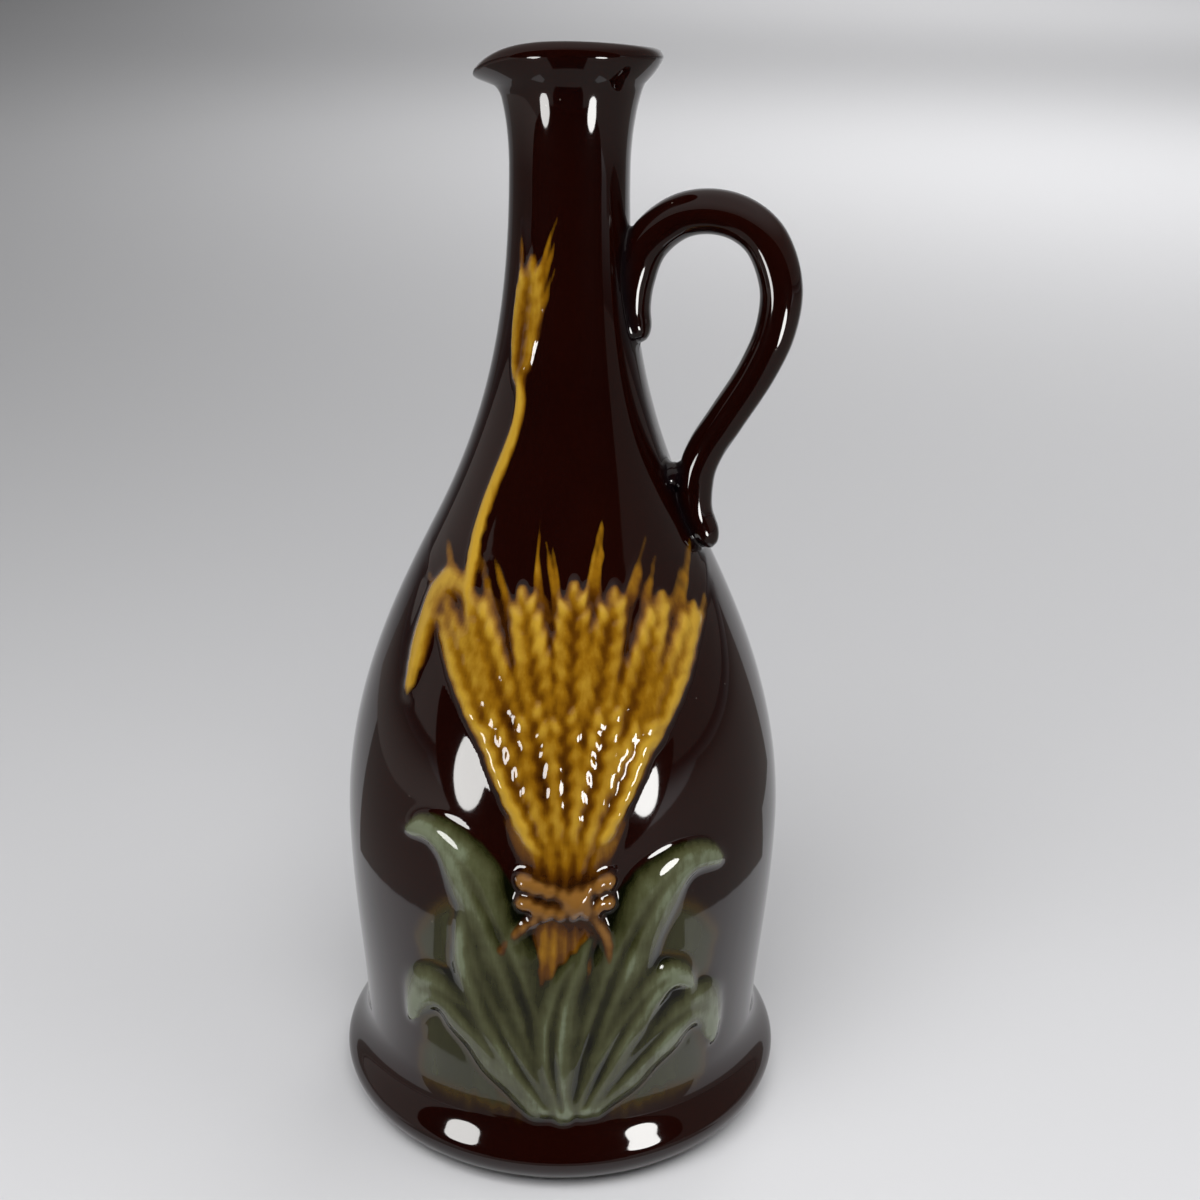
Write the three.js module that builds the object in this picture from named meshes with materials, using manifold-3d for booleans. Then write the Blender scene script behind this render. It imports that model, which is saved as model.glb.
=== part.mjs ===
// A glazed ceramic whisky jug, cast as one hollow piece: a bell-shaped body on a rolled foot, a tall neck
// with a flared mouth and a pouring lip, a loop handle, and a sheaf of barley moulded on the front.
// Millimetres, +Z up. The origin is on the axis of the body, on the surface that the jug stands on.
// The handle is towards +X, the pouring lip towards -X, and the sheaf faces -Y.
import * as THREE from "three";
import { mergeVertices } from "three/addons/utils/BufferGeometryUtils.js";
import Module from "manifold-3d";

const wasm = await Module();
wasm.setup();

// The outer outline: its stations are where the wall stands upright, and one on the slope of the shoulder.
const height = 265;
const footRadius = 57.2;
const footRoll = 8.7;
const footTuck = 13;
const waistRadius = 51.4;
const waistHeight = 22.9;
const bellyRadius = 54.4;
const bellyHeight = 77.5;
const shoulderRadius = 31.4;
const shoulderHeight = 156;
const shoulderLean = 26.2;
const neckRadius = 13.5;
const neckHeight = 239.4;
const flareRadius = 16.4;
const flareDepth = 7.2;
const flareLean = -50;
const rimRadius = 20;
const rimRound = 2;
const rimUndercut = 20;

// The pottery itself.
const wall = 4;
const neckWall = 3.6;
const floorHeight = 8.5;
const floorCorner = 16;
const recessDepth = 2.6;
const footRing = 7;

// The pouring lip pulled out of the rim, the turn from the front to where the mouth tips up most, how far it
// tips, and how far the rim there and across from there stands above the sides.
const lipReach = 1.6;
const lipDip = 5.2;
const lipSpread = 45;
const lipDepth = 11;
const rimTurn = 12;
const rimTilt = 2.1;
const rimSwell = 0.9;

// The handle: a strap rolled nearly round, with a short tail pressed onto the neck and one onto the shoulder.
const handleThickness = 9.9;
const handleWidth = 10.8;
const handleSlimming = 0.12;
const handleReach = 53.4;
const handleTop = 236.4;
const upperRoot = 209;
const lowerRoot = 165.5;
const upperTail = 8.8;
const lowerTail = 13;
const rootStandOff = 3.9;
const tailStandOff = 2.6;
const tailRounding = 5;
// The clay pressed into the corner between the strap and the wall, above the lower root.
const webHeight = 169.8;
const webThickness = 5.2;
const webWidth = 8.4;
const webRise = 3.2;

// The moulded sheaf, laid out on the unrolled wall. Every place in it is a share of the sheaf's height.
const sheafTurn = 15;
const sheafFoot = 22;
const sheafHeight = 122;
const earLength = 31.5;
const earHalfWidth = 4.9;
const earRise = 3.2;
const strawRise = 2.2;
const tieRise = 3.8;
const leafHalfWidth = 9.6;
const leafRise = 2.6;
const stalkHalfWidth = 1.8;
const stalkRise = 1.5;

// How finely the faceted wall is cut: fine at the front, where the relief is.
const wallSides = 48;
const frontCrowding = 0.6;
const reliefStep = 4;
const neckStep = 6.5;
const handleSides = 12;
const handleSteps = 34;

const degrees = Math.PI / 180;
const turnOfLip = -90 * degrees;

const clamp01 = (x) => Math.min(1, Math.max(0, x));
const smooth = (x) => clamp01(x) ** 2 * (3 - 2 * clamp01(x));

// One cubic curve between two stations. The tangents reach out of them by shares of the rise between them.
function between(lower, upper) {
  const rise = upper.height - lower.height;
  const start = new THREE.Vector2(lower.radius, lower.height);
  const end = new THREE.Vector2(upper.radius, upper.height);
  const up = new THREE.Vector2(-Math.sin(lower.lean), Math.cos(lower.lean));
  const down = new THREE.Vector2(Math.sin(upper.lean), -Math.cos(upper.lean));
  return new THREE.CubicBezierCurve(
    start,
    start.clone().addScaledVector(up, lower.above * rise),
    end.clone().addScaledVector(down, upper.below * rise),
    end,
  );
}

// The height where the wall runs into the rounding of the rim, a little under the rim's widest place.
function rimStart() {
  return height - rimRound * (1 + Math.sin(rimUndercut * degrees));
}

function outlineStations() {
  const lean = shoulderLean * degrees;
  return [
    { radius: footRadius, height: footRoll, lean: 0, below: 0, above: 0.24 },
    { radius: waistRadius, height: waistHeight, lean: 0, below: 0.58, above: 0.22 },
    { radius: bellyRadius, height: bellyHeight, lean: 0, below: 0.4, above: 0.41 },
    { radius: shoulderRadius, height: shoulderHeight, lean, below: 0.29, above: 0.316 },
    { radius: neckRadius, height: neckHeight, lean: 0, below: 0.44, above: 0.638 },
    { radius: flareRadius, height: height - flareDepth, lean: flareLean * degrees, below: 0.02, above: 0.3 },
    {
      radius: rimRadius - rimRound * (1 - Math.cos(rimUndercut * degrees)),
      height: rimStart(),
      lean: -rimUndercut * degrees,
      below: 0.25,
      above: 0,
    },
  ];
}

const stations = outlineStations();
const outlineCurves = stations.slice(1).map((s, i) => between(stations[i], s));

// The outline as a fine table of points from the foot's widest edge to the rim's.
const outlineTable = outlineCurves.flatMap((curve, i) => {
  const points = curve.getPoints(60);
  return i ? points.slice(1) : points;
});

// The radius of the wall and its outward normal at a height.
function wallAt(z) {
  const last = outlineTable.length - 2;
  let i = outlineTable.findIndex((p) => p.y > z) - 1;
  i = i < 0 ? (z < footRoll ? 0 : last) : i;
  const [a, b] = [outlineTable[i], outlineTable[i + 1]];
  const share = clamp01((z - a.y) / (b.y - a.y));
  const along = b.clone().sub(a).normalize();
  return {
    radius: a.x + (b.x - a.x) * share,
    normal: new THREE.Vector2(along.y, -along.x),
  };
}

// A point on the inside of the wall, at the height of a point on its outside.
function insideOf(z) {
  const { radius, normal } = wallAt(z);
  const thickness = THREE.MathUtils.lerp(wall, neckWall, smooth((z - bellyHeight) / (neckHeight - bellyHeight)));
  return new THREE.Vector2(radius, z).addScaledVector(normal, -thickness);
}

// Heights from one level to another in equal steps no longer than the one given, without the last.
function levels(from, to, step) {
  const count = Math.max(1, Math.ceil((to - from) / step));
  return Array.from({ length: count }, (_, i) => from + ((to - from) * i) / count);
}

// A round stretch of profile about a centre, between two angles from the outward direction.
function arc(centreRadius, centreHeight, acrossRadius, upRadius, from, to, steps) {
  return Array.from({ length: steps + 1 }, (_, i) => {
    const angle = (from + ((to - from) * i) / steps) * degrees;
    return new THREE.Vector2(
      centreRadius + acrossRadius * Math.cos(angle),
      centreHeight + upRadius * Math.sin(angle),
    );
  });
}

function underside() {
  const contact = footRadius - footTuck;
  const ringInside = contact - footRing;
  return [
    new THREE.Vector2(0, recessDepth),
    new THREE.Vector2(ringInside - recessDepth / 2, recessDepth),
    new THREE.Vector2(ringInside, 0),
    ...arc(contact, footRoll, footTuck, footRoll, -90, 0, 4).slice(0, -1),
  ];
}

function outside() {
  const rimHeight = rimStart();
  const heights = [
    ...levels(footRoll, waistHeight - 5, 2.6),
    ...levels(waistHeight - 5, shoulderHeight, reliefStep),
    ...levels(shoulderHeight, neckHeight, neckStep),
    ...levels(neckHeight, height - 2 * flareDepth, 6),
    ...levels(height - 2 * flareDepth, height - flareDepth, 2.6),
    ...levels(height - flareDepth, rimHeight, 2),
  ];
  return heights.map((z) => new THREE.Vector2(wallAt(z).radius, z));
}

function rim() {
  return arc(rimRadius - rimRound, height - rimRound, rimRound, rimRound, -rimUndercut, 150, 4);
}

function inside() {
  const cornerTop = floorHeight + floorCorner;
  const heights = [
    ...levels(cornerTop + 6, shoulderHeight, 21),
    ...levels(shoulderHeight, neckHeight, 17),
    ...levels(neckHeight, height - flareDepth, 6),
    height - flareDepth,
  ];
  const wallInside = insideOf(cornerTop + 6).x;
  return [
    ...heights.reverse().map(insideOf),
    ...arc(wallInside - floorCorner, cornerTop, floorCorner, floorCorner, 0, -90, 4),
    new THREE.Vector2(0, floorHeight),
  ];
}

// The relief is made of strokes on the unrolled wall, where x is the way round from the sheaf's middle and
// y is the height. A stroke has a centre line, a half width and a rise along it, and a rounded section.
function stroke(curve, halfWidth, rise) {
  const steps = 16;
  const spine = curve.getPoints(steps).map(({ x, y }, i) => ({
    x,
    y,
    halfWidth: halfWidth(i / steps),
    rise: rise(i / steps),
  }));
  const margin = Math.max(...spine.map((p) => p.halfWidth));
  const xs = spine.map((p) => p.x);
  const ys = spine.map((p) => p.y);
  return {
    spine,
    left: Math.min(...xs) - margin,
    right: Math.max(...xs) + margin,
    bottom: Math.min(...ys) - margin,
    top: Math.max(...ys) + margin,
  };
}

function riseOf({ spine, left, right, bottom, top }, x, y) {
  if (x < left || x > right || y < bottom || y > top) return 0;
  let best = 0;
  for (let i = 1; i < spine.length; i++) {
    const [a, b] = [spine[i - 1], spine[i]];
    const [dx, dy] = [b.x - a.x, b.y - a.y];
    const share = clamp01(((x - a.x) * dx + (y - a.y) * dy) / (dx * dx + dy * dy));
    const away = Math.hypot(x - a.x - share * dx, y - a.y - share * dy);
    const half = a.halfWidth + (b.halfWidth - a.halfWidth) * share;
    const rise = a.rise + (b.rise - a.rise) * share;
    const across = away / Math.max(half, 1e-6);
    if (across < 1) best = Math.max(best, rise * (1 - across ** 2.6));
  }
  return best;
}

// A place in the sheaf: both coordinates are percentages of its height.
const sheafPlace = (x, y) => new THREE.Vector2(x, y).multiplyScalar(sheafHeight / 100).add(sheafBase);
const sheafBase = new THREE.Vector2(0, sheafFoot);

const grainShape = (t) => Math.sin(Math.PI * (0.1 + 0.88 * t)) ** 0.55;

// The middle line of an ear, which leaves its root at an angle from upright and droops outwards.
function earLine(root, angle, length, droop) {
  const way = new THREE.Vector2(Math.sin(angle), Math.cos(angle));
  const across = new THREE.Vector2(way.y, -way.x);
  const tip = root.clone().addScaledVector(way, length).addScaledVector(across, droop * Math.sin(2 * angle));
  return new THREE.QuadraticBezierCurve(root, root.clone().addScaledVector(way, length / 2), tip);
}

// Ears of barley fanned above the tie, the middle ones lower and prouder than the ones behind them.
function ears() {
  const rows = [
    { count: 7, start: 31, spread: 8.6, droop: 0.1, rise: 0.72 },
    { count: 5, start: 12.5, spread: 11, droop: 0.065, rise: 1 },
  ];
  return rows.flatMap(({ count, start, spread, droop, rise }) =>
    Array.from({ length: count }, (_, i) => {
      const angle = (i - (count - 1) / 2) * spread * degrees;
      const away = (start * sheafHeight) / 100;
      const root = sheafPlace(0, 50).add(new THREE.Vector2(Math.sin(angle), Math.cos(angle)).multiplyScalar(away));
      return stroke(
        earLine(root, angle, earLength, droop * earLength),
        (t) => earHalfWidth * grainShape(t),
        () => rise * earRise,
      );
    }),
  );
}

// The straw between the ears and the tie, and its skirt below the tie.
function straw() {
  const neck = sheafPlace(0, 51);
  const share = sheafHeight / 100;
  return [
    stroke(new THREE.LineCurve(neck, sheafPlace(0, 66)), (t) => (6 + 6 * t) * share, () => strawRise),
    stroke(
      new THREE.LineCurve(neck, sheafPlace(0, 3)),
      (t) => (6 + 7 * t) * share,
      (t) => strawRise * (1 - 0.4 * t),
    ),
  ];
}

function tie() {
  const share = sheafHeight / 100;
  const band = new THREE.LineCurve(sheafPlace(-5, 51), sheafPlace(5, 51));
  return stroke(band, () => 4 * share, () => tieRise);
}

function blade(shape, halfWidth, rise) {
  return stroke(
    new THREE.QuadraticBezierCurve(...shape.map(([x, y]) => sheafPlace(x, y))),
    (t) => halfWidth * Math.sin(Math.PI * (0.12 + 0.87 * t)) ** 0.7,
    (t) => rise * (0.7 + 0.3 * Math.sin(Math.PI * t)),
  );
}

// Broad leaves that rise from the foot of the sheaf and arch outwards, each as start, bend and tip, with
// its share of the full width and rise.
function leaves() {
  const shapes = [
    { shape: [[6, 1], [31, 36], [34, 7]], width: 0.94, rise: 0.8 },
    { shape: [[-5, 1], [-27, 42], [-34, 13]], width: 0.94, rise: 0.8 },
    { shape: [[2, 3], [14, 68], [33, 52]], width: 1.06, rise: 0.9 },
    { shape: [[-2, 3], [-16, 72], [-33, 58]], width: 1.06, rise: 0.9 },
    { shape: [[4, 1], [17, 42], [27, 25]], width: 0.9, rise: 1 },
    { shape: [[-3, 1], [-19, 30], [-20, 46]], width: 0.9, rise: 1 },
    { shape: [[0, 0], [-6, 26], [5, 43]], width: 0.84, rise: 1.1 },
  ];
  return shapes.map(({ shape, width, rise }) => blade(shape, width * leafHalfWidth, rise * leafRise));
}

// One tall stalk that climbs the shoulder, with a blade curling off it and a single ear on the neck.
function tallStalk() {
  const route = [[-12, 86], [-19, 99], [-18, 114], [-12, 128], [-9.5, 142]].map(([x, y]) => sheafPlace(x, y));
  const top = route[route.length - 1];
  return [
    stroke(new THREE.SplineCurve(route), () => stalkHalfWidth, () => stalkRise),
    blade([[-18.5, 101], [-27, 113], [-35, 82]], 0.4 * leafHalfWidth, 0.65 * leafRise),
    stroke(
      earLine(top, 0.12, 0.82 * earLength, 0),
      (t) => 0.72 * earHalfWidth * grainShape(t),
      () => 0.66 * earRise,
    ),
  ];
}

const strokes = [...ears(), ...straw(), tie(), ...leaves(), ...tallStalk()];

function reliefAt(turn, z) {
  let away = turn - sheafTurn * degrees;
  away = Math.atan2(Math.sin(away), Math.cos(away));
  const x = away * wallAt(z).radius;
  return strokes.reduce((most, s) => Math.max(most, riseOf(s, x, z)), 0);
}

// A closed mesh as a solid: shared vertices merged, and the faces that collapse on the axis dropped.
function solid(geometry) {
  const bare = geometry.clone();
  bare.deleteAttribute("normal");
  bare.deleteAttribute("uv");
  const merged = mergeVertices(bare, 1e-4);
  const corners = [];
  for (let i = 0; i < merged.index.count; i += 3) {
    const [a, b, c] = [0, 1, 2].map((k) => merged.index.getX(i + k));
    if (a !== b && b !== c && c !== a) corners.push(a, b, c);
  }
  return new wasm.Manifold(
    new wasm.Mesh({
      numProp: 3,
      vertProperties: Float32Array.from(merged.attributes.position.array),
      triVerts: Uint32Array.from(corners),
    }),
  );
}

function geometryOf(manifold) {
  const mesh = manifold.getMesh();
  const geometry = new THREE.BufferGeometry();
  geometry.setAttribute("position", new THREE.BufferAttribute(mesh.vertProperties, 3));
  geometry.setIndex(new THREE.BufferAttribute(mesh.triVerts, 1));
  geometry.computeVertexNormals();
  return geometry;
}

// Turns a profile about +Z. The turn is counted from the front, -Y, towards +X.
function turned(profile, sides) {
  return new THREE.LatheGeometry(profile, sides).rotateX(Math.PI / 2);
}

// The pouring lip: near the rim the wall is drawn out and down around the side away from the handle, and
// the mouth tips back a little.
function pullLip(point, turn) {
  const away = Math.atan2(Math.sin(turn - turnOfLip), Math.cos(turn - turnOfLip));
  const around = Math.exp(-((away / (lipSpread * degrees)) ** 2));
  const up = smooth((point.y - (height - lipDepth)) / lipDepth);
  const front = Math.cos(turn - rimTurn * degrees);
  const drop = lipDip * around - rimTilt * front - rimSwell * front ** 2;
  return new THREE.Vector2(point.x + lipReach * around * up, point.y - drop * up);
}

// The hollow body with its foot, neck, mouth and relief, as one turned wall.
function vessel() {
  const outer = outside();
  const profile = [...underside(), ...outer, ...rim(), ...inside()];
  const firstOuter = underside().length;
  const geometry = turned(profile, wallSides);
  const positions = geometry.attributes.position;
  const centre = sheafTurn * degrees;
  for (let i = 0; i < positions.count; i++) {
    const row = i % profile.length;
    const evenTurn = ((i - row) / profile.length / wallSides) * 2 * Math.PI;
    const turn = evenTurn - frontCrowding * Math.sin(evenTurn - centre);
    let point = profile[row].clone();
    if (row >= firstOuter && row < firstOuter + outer.length) {
      const { normal } = wallAt(point.y);
      point.addScaledVector(normal, reliefAt(turn, point.y));
    }
    if (point.y > height - lipDepth) point = pullLip(point, turn);
    positions.setXYZ(i, point.x * Math.sin(turn), -point.x * Math.cos(turn), point.y);
  }
  return solid(geometry);
}

// The centre line of the handle, in the plane through the axis and +X. Above its upper root, and between
// its two roots, its points are shares of the way out and of the way up.
function handleLine() {
  const arch = [[0.01, 0.31], [0.1, 0.66], [0.3, 0.925], [0.51, 1], [0.72, 0.94], [0.885, 0.75], [1, 0.317]];
  const fall = [[0.963, 0.933], [0.755, 0.708], [0.382, 0.439], [0.131, 0.26], [0.023, 0.133]];
  const half = handleThickness / 2;
  const out = handleReach - half;
  const onWall = (z) => wallAt(z).radius;
  const onLower = onWall(lowerRoot) + rootStandOff;
  const mix = THREE.MathUtils.lerp;
  const points = [
    [onWall(upperRoot - upperTail) + 0.2, upperRoot - upperTail],
    [onWall(upperRoot) - 0.4, upperRoot],
    ...arch.map(([across, up]) => [
      mix(onWall(upperRoot) - 0.4, out, across),
      mix(upperRoot, handleTop - half, up),
    ]),
    ...fall.map(([across, up]) => [mix(onLower, out, across), mix(lowerRoot, upperRoot, up)]),
    [onLower, lowerRoot],
    ...[0.35, 0.7, 1].map((share) => lowerRoot - lowerTail * share).map((z) => [onWall(z) + tailStandOff, z]),
  ];
  return new THREE.CatmullRomCurve3(
    points.map(([x, z]) => new THREE.Vector3(x, 0, z)),
    false,
    "centripetal",
  );
}

// The handle: a cylinder bent along its centre line, flatter towards the tails and closed by rounded ends.
function handle() {
  const line = handleLine();
  const side = new THREE.Vector3(0, 1, 0);
  const geometry = new THREE.CylinderGeometry(1, 1, 1, handleSides, handleSteps);
  const positions = geometry.attributes.position;
  for (let i = 0; i < positions.count; i++) {
    const along = clamp01(positions.getY(i) + 0.5);
    const end = Math.min(along, 1 - along) * line.getLength();
    const round = Math.sqrt(clamp01(1 - (1 - clamp01(end / tailRounding)) ** 2)) * 0.7 + 0.3;
    const tail = smooth(end / (2 * upperTail));
    const slim = 1 - handleSlimming * smooth((along - 0.4) / 0.3);
    const thick = (handleThickness / 2) * (0.74 + 0.26 * tail) * slim * round;
    const wide = (handleWidth / 2) * (0.85 + 0.15 * tail) * slim * round;
    const ahead = line.getTangentAt(along);
    const out = new THREE.Vector3().crossVectors(ahead, side);
    const place = line
      .getPointAt(along)
      .addScaledVector(out, thick * positions.getX(i))
      .addScaledVector(side, wide * positions.getZ(i));
    positions.setXYZ(i, place.x, place.y, place.z);
  }
  return solid(geometry);
}

function web() {
  const geometry = new THREE.SphereGeometry(1, 9, 6);
  geometry.scale(webThickness / 2, webWidth / 2, webRise);
  geometry.translate(wallAt(webHeight).radius + 0.6, 0, webHeight);
  return solid(geometry);
}

// Everything inside the middle of the wall, which the roots of the handle stop at.
function core() {
  const middle = (z) => {
    const { radius, normal } = wallAt(z);
    return new THREE.Vector2(radius, z).addScaledVector(normal, -neckWall / 2);
  };
  const points = levels(waistHeight, height - rimRound - 2, 8).map(middle);
  const profile = [
    new THREE.Vector2(0, points[0].y),
    ...points,
    new THREE.Vector2(0, points[points.length - 1].y),
  ];
  return solid(turned(profile, 32));
}

const glaze = new THREE.MeshStandardMaterial({ color: 0x2a120b, roughness: 0.12, metalness: 0 });

const jug = new THREE.Mesh(geometryOf(vessel().add(handle().add(web()).subtract(core()))), glaze);
jug.name = "jug";

const group = new THREE.Group();
group.add(jug);

export default group;
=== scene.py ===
"""A glazed whisky jug with a moulded and painted sheaf of barley, standing on a pale floor.

Lengths are in millimetres until a mesh is made. The handle is towards +X and the sheaf faces -Y.
"""
import math

import bmesh
import bpy
import numpy as np
from mathutils import Matrix, Vector, kdtree


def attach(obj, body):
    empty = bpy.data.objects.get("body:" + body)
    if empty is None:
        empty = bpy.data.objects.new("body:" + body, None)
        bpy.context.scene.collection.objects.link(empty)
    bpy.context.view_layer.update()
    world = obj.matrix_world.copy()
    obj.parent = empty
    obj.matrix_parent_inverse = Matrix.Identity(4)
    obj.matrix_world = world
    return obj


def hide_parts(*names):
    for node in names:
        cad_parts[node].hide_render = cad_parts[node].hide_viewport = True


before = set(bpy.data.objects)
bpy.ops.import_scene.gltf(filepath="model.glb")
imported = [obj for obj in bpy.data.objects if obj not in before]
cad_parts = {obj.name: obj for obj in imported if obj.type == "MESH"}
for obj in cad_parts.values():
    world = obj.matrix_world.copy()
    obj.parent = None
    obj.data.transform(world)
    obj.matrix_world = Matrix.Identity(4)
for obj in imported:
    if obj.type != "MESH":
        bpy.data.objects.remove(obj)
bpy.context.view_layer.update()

MM = 0.001

# The outline of the wall, as in the part's own solid.
HEIGHT = 265.0
FOOT_RADIUS = 57.2
FOOT_ROLL = 8.7
FOOT_TUCK = 13.0
WAIST = (51.4, 22.9)
BELLY = (54.4, 77.5)
SHOULDER = (31.4, 156.0)
SHOULDER_LEAN = math.radians(26.2)
NECK = (13.5, 239.4)
FLARE = (16.4, 257.8)
FLARE_LEAN = math.radians(-50)
RIM_RADIUS = 20.0
RIM_ROUND = 2.0
RIM_UNDERCUT = math.radians(20)

WALL = 4.0
NECK_WALL = 3.6
FLOOR_HEIGHT = 8.5
FLOOR_CORNER = 16.0
RECESS_DEPTH = 2.6
FOOT_RING = 7.0

LIP_TURN = math.radians(-90)
LIP_REACH = 1.6
LIP_DIP = 5.2
LIP_SPREAD = math.radians(45)
LIP_DEPTH = 11.0
RIM_TURN = math.radians(12)
RIM_TILT = 2.1
RIM_SWELL = 0.9

HANDLE_THICKNESS = 9.9
HANDLE_WIDTH = 10.8
HANDLE_SLIMMING = 0.12
HANDLE_REACH = 53.4
HANDLE_TOP = 236.4
UPPER_ROOT = 209.0
LOWER_ROOT = 165.5
UPPER_TAIL = 8.8
LOWER_TAIL = 13.0
ROOT_STAND_OFF = 3.9
TAIL_STAND_OFF = 2.6
TAIL_ROUNDING = 5.0
WEB_HEIGHT = 169.8
WEB_THICKNESS = 5.2
WEB_WIDTH = 8.4
WEB_RISE = 3.2

SHEAF_TURN = math.radians(15)
SHEAF_FOOT = 22.0
SHEAF_HEIGHT = 122.0
CORD_WIDTH = 4.7
CORD_RISE = 3.9
CORD_END_WIDTH = 3.4
CORD_END_RISE = 3.4

# The camera stands this far round from the front, towards the handle.
CAMERA_TURN = math.radians(13)

COLUMNS = 256
FRONT_CROWDING = 0.62

# How far the carving stands out of its surroundings where its tone is lightest
FULL_RIDGE = 0.6


def smooth(x):
    x = np.clip(x, 0.0, 1.0)
    return x * x * (3 - 2 * x)


def wrapped(turn):
    """The same turn, between minus and plus half a circle."""
    return np.arctan2(np.sin(turn), np.cos(turn))


# The outline

# Where the wall runs into the rounding of the rim, a little under the rim's widest place
RIM_START = (
    RIM_RADIUS - RIM_ROUND * (1 - math.cos(RIM_UNDERCUT)),
    HEIGHT - RIM_ROUND * (1 + math.sin(RIM_UNDERCUT)),
)


def bezier(p0, p1, p2, p3, count):
    t = np.linspace(0, 1, count)[:, None]
    p0, p1, p2, p3 = map(np.asarray, (p0, p1, p2, p3))
    return (1 - t) ** 3 * p0 + 3 * (1 - t) ** 2 * t * p1 + 3 * (1 - t) * t**2 * p2 + t**3 * p3


def outline():
    """The wall from the foot's widest edge to the rim's, as radius and height."""
    stations = [
        ((FOOT_RADIUS, FOOT_ROLL), 0.0, 0.0, 0.24),
        (WAIST, 0.0, 0.58, 0.22),
        (BELLY, 0.0, 0.40, 0.41),
        (SHOULDER, SHOULDER_LEAN, 0.29, 0.316),
        (NECK, 0.0, 0.44, 0.638),
        (FLARE, FLARE_LEAN, 0.02, 0.3),
        (RIM_START, -RIM_UNDERCUT, 0.25, 0.0),
    ]
    parts = []
    for (p, lean_p, _, above), (q, lean_q, below, _) in zip(stations, stations[1:]):
        rise = q[1] - p[1]
        up = np.array([-math.sin(lean_p), math.cos(lean_p)]) * above * rise
        down = np.array([math.sin(lean_q), -math.cos(lean_q)]) * below * rise
        parts.append(bezier(p, np.add(p, up), np.add(q, down), q, 200)[1 if parts else 0:])
    return np.vstack(parts)


OUTLINE = outline()
TANGENT = np.gradient(OUTLINE, axis=0)
TANGENT /= np.linalg.norm(TANGENT, axis=1)[:, None]


def wall_radius(z):
    return np.interp(z, OUTLINE[:, 1], OUTLINE[:, 0])


def wall_normal(z):
    """The outward normal of the wall at a height, as its radial and upward parts."""
    along_r = np.interp(z, OUTLINE[:, 1], TANGENT[:, 0])
    along_z = np.interp(z, OUTLINE[:, 1], TANGENT[:, 1])
    length = np.hypot(along_r, along_z)
    return along_z / length, -along_r / length


def inside_of(z):
    thickness = WALL + (NECK_WALL - WALL) * smooth((z - BELLY[1]) / (NECK[1] - BELLY[1]))
    out, up = wall_normal(z)
    return np.stack([wall_radius(z) - thickness * out, z - thickness * up], axis=1)


def arc(centre, across, upwards, start, end, steps):
    angle = np.radians(np.linspace(start, end, steps + 1))
    return np.stack([centre[0] + across * np.cos(angle), centre[1] + upwards * np.sin(angle)], axis=1)


# The relief, drawn on the unrolled wall: x is the way round from the middle of the sheaf, y the height

class Sheet:
    """The unrolled wall, with the height of the relief and the colours painted over it."""

    def __init__(self, x, y):
        self.x = x
        self.y = y
        self.rise = np.zeros_like(x)
        self.paint = {name: np.zeros_like(x) for name in ("gold", "green", "ground", "rust")}

    def near(self, points, margin):
        low = np.min(points, axis=0) - margin
        high = np.max(points, axis=0) + margin
        inside = (self.x > low[0]) & (self.x < high[0]) & (self.y > low[1]) & (self.y < high[1])
        return np.nonzero(inside)

    def put(self, where, rise, colour, strength=1.0):
        """Lays a form over what is there. It takes its colour where it stands proud."""
        shown = (rise > self.rise[where]) & (rise > 1e-3)
        self.rise[where] = np.maximum(self.rise[where], rise)
        for name, values in self.paint.items():
            target = strength if name == colour else 0.0
            values[where] = np.where(shown, target, values[where])


def place(x, y):
    """A place in the sheaf, from percentages of its height."""
    return np.array([x * SHEAF_HEIGHT / 100, SHEAF_FOOT + y * SHEAF_HEIGHT / 100])


def along_path(points, x, y):
    """For each place: how far along the path its nearest point is, from 0 to 1, and how far off to the
    right of the path the place lies."""
    points = np.asarray(points, dtype=float)
    way = np.diff(points, axis=0)
    lengths = np.linalg.norm(way, axis=1)
    start = np.concatenate([[0], np.cumsum(lengths)])
    best = np.full(x.shape, np.inf)
    share = np.zeros(x.shape)
    off = np.zeros(x.shape)
    for i, (dx, dy) in enumerate(way):
        rx, ry = x - points[i, 0], y - points[i, 1]
        t = np.clip((rx * dx + ry * dy) / lengths[i] ** 2, 0, 1)
        away = np.hypot(rx - t * dx, ry - t * dy)
        side = np.sign(rx * dy - ry * dx)
        closer = away < best
        best = np.where(closer, away, best)
        share = np.where(closer, (start[i] + t * lengths[i]) / start[-1], share)
        off = np.where(closer, away * side, off)
    return share, off


def curve(shape):
    """A quadratic curve, from its two ends and the place that bends it."""
    a, b, c = (place(*p) for p in shape)
    t = np.linspace(0, 1, 24)[:, None]
    return (1 - t) ** 2 * a + 2 * (1 - t) * t * b + t**2 * c


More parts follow.
